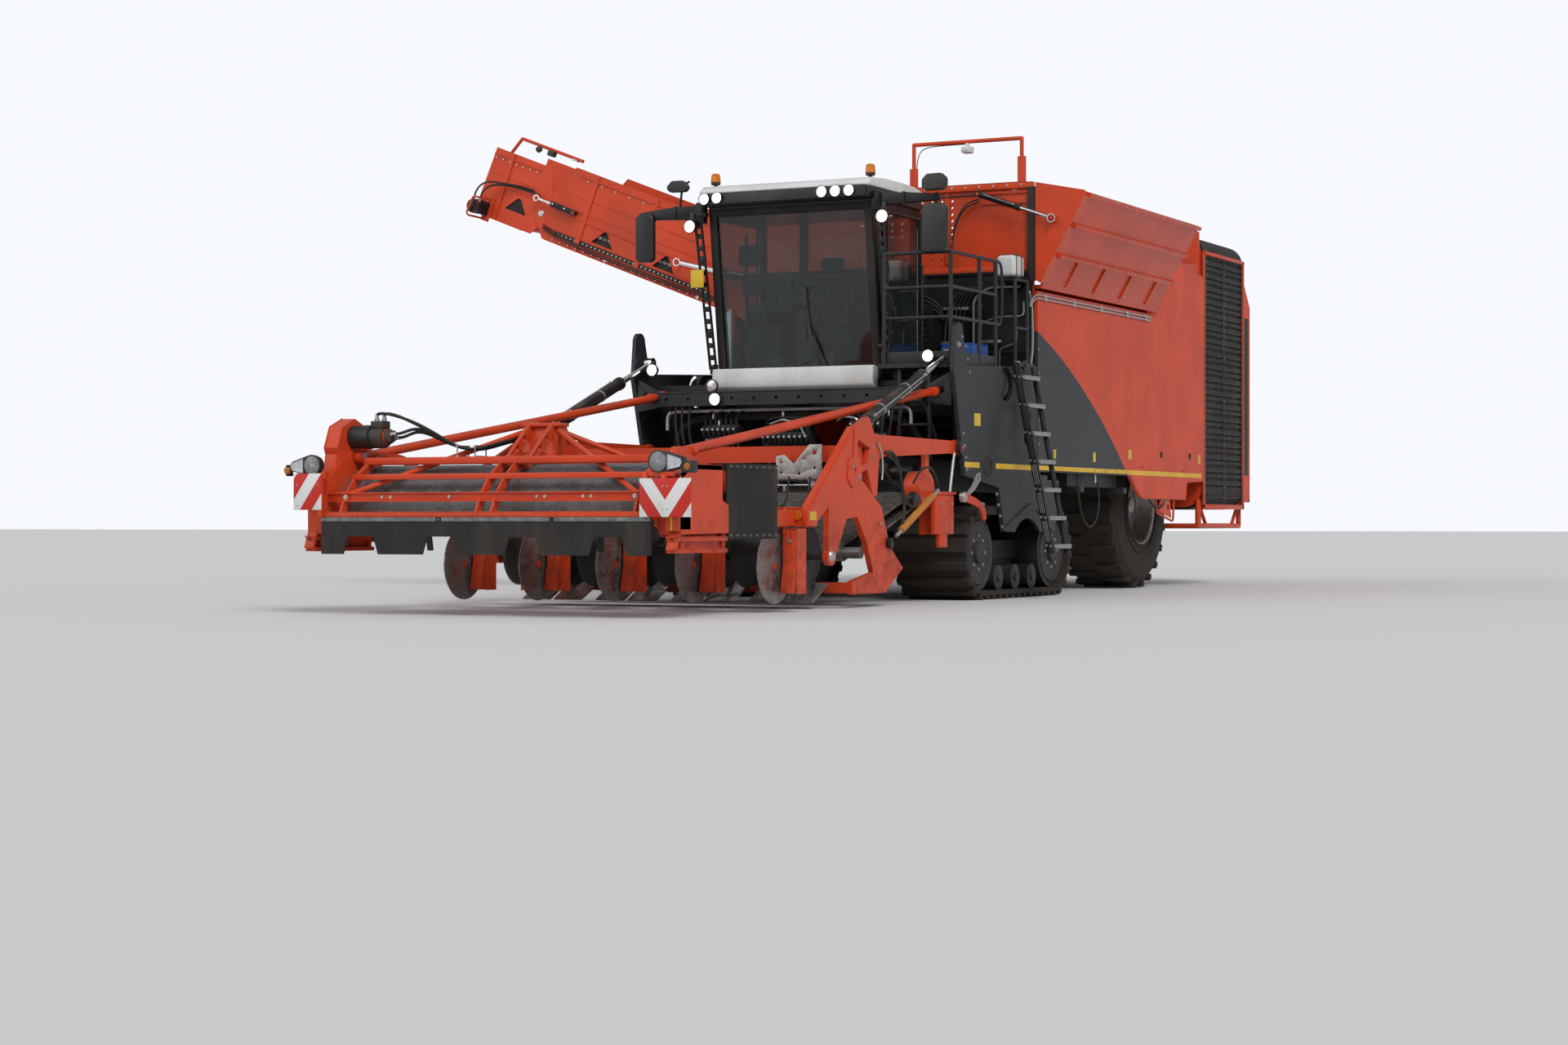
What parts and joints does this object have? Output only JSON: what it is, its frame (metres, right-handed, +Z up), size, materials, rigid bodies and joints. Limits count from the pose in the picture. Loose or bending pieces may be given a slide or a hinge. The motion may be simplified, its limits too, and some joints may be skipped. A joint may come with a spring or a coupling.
{
  "type": "potato harvester",
  "caption": "Self-propelled potato harvester on front tracks and rear wheels, with a front leaf topper, digging unit, cab, large bunker, ring elevator and side unloading elevator.",
  "frame": {"origin": "on the ground, at the middle of the length and width that the machine covers with its unloading elevator out; the machine's midplane is X = 1.31 m and the centre of its track units is Y = -0.18 m", "axes": "+X to the machine's left, +Y to the rear, +Z up; the front faces -Y"},
  "size_m": [7.1459, 14.54, 4.9081],
  "materials": {
    "frame_dark": "dark grey paint, dusty",
    "red_panel": "red gloss paint, dusty and scuffed",
    "belt_black": "worn rubber-coated bars",
    "cab_black": "black gloss paint",
    "glass": "tinted safety glass",
    "white_plastic": "white moulded plastic",
    "seat_fabric": "dark woven cloth",
    "black_plastic": "black moulded plastic",
    "lamp": "clear lenses in dark shells",
    "track_rubber": "rubber band, soil on the lugs",
    "web_steel": "worn steel bars",
    "cylinder_dark": "black paint",
    "rod_chrome": "chromed rod",
    "tool_steel": "soil-polished steel",
    "grey_sheet": "galvanised sheet",
    "rubber_flap": "flat rubber sheet",
    "tyre": "black tyre on a dark rim"
  },
  "bodies": {
    "chassis": {"main_frame": "frame_dark", "side_plates": "frame_dark", "side_cover_left": "red_panel", "side_cover_right": "red_panel", "bunker_tub": "red_panel", "bunker_floor": "belt_black", "ring_belt": "belt_black", "ring_housing": "red_panel", "engine_block": "frame_dark", "cab_frame": "cab_black", "cab_glass": "glass", "cab_roof": "white_plastic", "cab_apron": "white_plastic", "driver_seat": "seat_fabric", "mirrors": "black_plastic", "work_lamps": "lamp", "platform": "frame_dark", "fluid_tank": "white_plastic", "track_belt_left": "track_rubber", "track_belt_right": "track_rubber", "track_frames": "frame_dark", "rear_axle": "frame_dark", "sieving_webs": "web_steel"},
    "cab_door": {"cab_door": "cab_black", "door_glass": "glass"},
    "ladder": {"ladder": "frame_dark"},
    "bunker_wing": {"bunker_wing": "red_panel"},
    "wing_barrel": {"wing_barrel": "cylinder_dark"},
    "wing_rod": {"wing_rod": "rod_chrome"},
    "elevator_inner": {"elevator_inner": "red_panel"},
    "elevator_outer": {"elevator_outer": "red_panel"},
    "elevator_barrel": {"elevator_barrel": "cylinder_dark"},
    "elevator_rod": {"elevator_rod": "rod_chrome"},
    "knee_barrel": {"knee_barrel": "cylinder_dark"},
    "knee_rod": {"knee_rod": "rod_chrome"},
    "digging_unit": {"digger_frame": "red_panel", "coulter_arms": "red_panel", "digging_shares": "tool_steel", "digging_webs": "web_steel"},
    "coulter_discs": {"coulter_discs": "tool_steel"},
    "ridge_rollers": {"ridge_rollers": "frame_dark"},
    "lift_barrels": {"lift_barrels": "cylinder_dark"},
    "lift_rods": {"lift_rods": "rod_chrome"},
    "push_tubes": {"push_tubes": "red_panel"},
    "topper": {"topper_frame": "red_panel", "topper_hood": "grey_sheet", "topper_rubber": "rubber_flap", "front_markers": "white_plastic"},
    "topper_rotor": {"topper_rotor": "frame_dark"},
    "rear_knuckle_left": {"knuckle_left": "frame_dark"},
    "rear_knuckle_right": {"knuckle_right": "frame_dark"},
    "rear_wheel_left": {"rear_wheel_left": "tyre"},
    "rear_wheel_right": {"rear_wheel_right": "tyre"}
  },
  "joints": [
    {"name": "digger_lift", "type": "hinge", "parent": "chassis", "child": "digging_unit", "pos_m": [1.31, -1.73, 1.42], "axis": [-1, 0, 0], "range_deg": [-3, 12]},
    {"name": "disc_spin", "type": "hinge", "parent": "digging_unit", "child": "coulter_discs", "pos_m": [1.31, -5.23, 0.38], "axis": [-1, 0, 0], "continuous": true},
    {"name": "ridge_roller_spin", "type": "hinge", "parent": "digging_unit", "child": "ridge_rollers", "pos_m": [1.31, -4.43, 0.45], "axis": [-1, 0, 0], "continuous": true},
    {"name": "lift_rod_swing", "type": "hinge", "parent": "chassis", "child": "lift_rods", "pos_m": [1.31, -1.8, 2.275], "axis": [-1, 0, 0], "range_deg": [-2.94, 11.16]},
    {"name": "lift_barrel_stroke", "type": "slide", "parent": "lift_rods", "child": "lift_barrels", "axis": [0, -0.9371, -0.349], "range_m": [-0.1778, 0.0459]},
    {"name": "push_tube_swing", "type": "hinge", "parent": "chassis", "child": "push_tubes", "pos_m": [1.31, -1.78, 1.955], "axis": [-1, 0, 0], "range_deg": [-3, 12]},
    {"name": "topper_level", "type": "hinge", "parent": "digging_unit", "child": "topper", "pos_m": [1.31, -6.71, 0.724], "axis": [-1, 0, 0], "range_deg": [-12, 3]},
    {"name": "topper_rotor_spin", "type": "hinge", "parent": "topper", "child": "topper_rotor", "pos_m": [1.31, -6.58, 0.8], "axis": [-1, 0, 0], "continuous": true},
    {"name": "bunker_wing_fold", "type": "hinge", "parent": "chassis", "child": "bunker_wing", "pos_m": [3.036, -0.18, 3.048], "axis": [0, -1, 0], "range_deg": [0, 20]},
    {"name": "wing_barrel_swing", "type": "hinge", "parent": "chassis", "child": "wing_barrel", "pos_m": [2.43, -0.18, 3.975], "axis": [0, -1, 0], "range_deg": [-4.87, 0]},
    {"name": "wing_rod_stroke", "type": "slide", "parent": "wing_barrel", "child": "wing_rod", "axis": [0.9424, 0, -0.3344], "range_m": [-0.2285, 0]},
    {"name": "elevator_lift", "type": "hinge", "parent": "chassis", "child": "elevator_inner", "pos_m": [-0.52, -0.18, 3.01], "axis": [0, 1, 0], "range_deg": [-12, 10]},
    {"name": "elevator_barrel_swing", "type": "hinge", "parent": "chassis", "child": "elevator_barrel", "pos_m": [0.41, -0.18, 3.11], "axis": [0, 1, 0], "range_deg": [-4.83, 4.06]},
    {"name": "elevator_rod_stroke", "type": "slide", "parent": "elevator_barrel", "child": "elevator_rod", "axis": [-0.9714, 0, 0.2376], "range_m": [-0.0559, 0.0667]},
    {"name": "elevator_knee", "type": "hinge", "parent": "elevator_inner", "child": "elevator_outer", "pos_m": [-2.72985, -0.18, 4.0618], "axis": [0, 1, 0], "range_deg": [-15, 18]},
    {"name": "knee_barrel_swing", "type": "hinge", "parent": "elevator_inner", "child": "knee_barrel", "pos_m": [-2.29, -0.18, 4.04], "axis": [0, 1, 0], "range_deg": [-2.45, 2.9]},
    {"name": "knee_rod_stroke", "type": "slide", "parent": "knee_barrel", "child": "knee_rod", "axis": [-0.9278, 0, 0.3731], "range_m": [-0.0477, 0.0401]},
    {"name": "cab_door_hinge", "type": "hinge", "parent": "chassis", "child": "cab_door", "pos_m": [2.2, -0.86, 0], "axis": [0, 0, 1], "range_deg": [0, 48]},
    {"name": "ladder_fold", "type": "hinge", "parent": "chassis", "child": "ladder", "pos_m": [1.31, -0.355, 2.25], "axis": [-1, 0, 0], "range_deg": [-75, 0]},
    {"name": "rear_steer_left", "type": "hinge", "parent": "chassis", "child": "rear_knuckle_left", "pos_m": [2.265, 4.07, 0.925], "axis": [0, 0, 1], "range_deg": [-17, 17]},
    {"name": "rear_steer_right", "type": "hinge", "parent": "chassis", "child": "rear_knuckle_right", "pos_m": [0.355, 4.07, 0.925], "axis": [0, 0, 1], "range_deg": [-17, 17]},
    {"name": "rear_wheel_left_spin", "type": "hinge", "parent": "rear_knuckle_left", "child": "rear_wheel_left", "pos_m": [1.31, 4.07, 0.925], "axis": [1, 0, 0], "continuous": true},
    {"name": "rear_wheel_right_spin", "type": "hinge", "parent": "rear_knuckle_right", "child": "rear_wheel_right", "pos_m": [1.31, 4.07, 0.925], "axis": [1, 0, 0], "continuous": true}
  ],
  "couplings": [
    {"joint": "lift_rod_swing", "follows": "digger_lift", "ratio": 0.91361},
    {"joint": "lift_barrel_stroke", "follows": "digger_lift", "m_per_rad": -0.8393},
    {"joint": "push_tube_swing", "follows": "digger_lift", "ratio": 1},
    {"joint": "topper_level", "follows": "digger_lift", "ratio": -1},
    {"joint": "wing_barrel_swing", "follows": "bunker_wing_fold", "ratio": -0.23354},
    {"joint": "wing_rod_stroke", "follows": "bunker_wing_fold", "m_per_rad": -0.64895},
    {"joint": "elevator_barrel_swing", "follows": "elevator_lift", "ratio": 0.38624},
    {"joint": "elevator_rod_stroke", "follows": "elevator_lift", "m_per_rad": -0.30895},
    {"joint": "knee_barrel_swing", "follows": "elevator_knee", "ratio": 0.15014},
    {"joint": "knee_rod_stroke", "follows": "elevator_knee", "m_per_rad": -0.14558},
    {"joint": "rear_steer_right", "follows": "rear_steer_left", "ratio": 1}
  ]
}
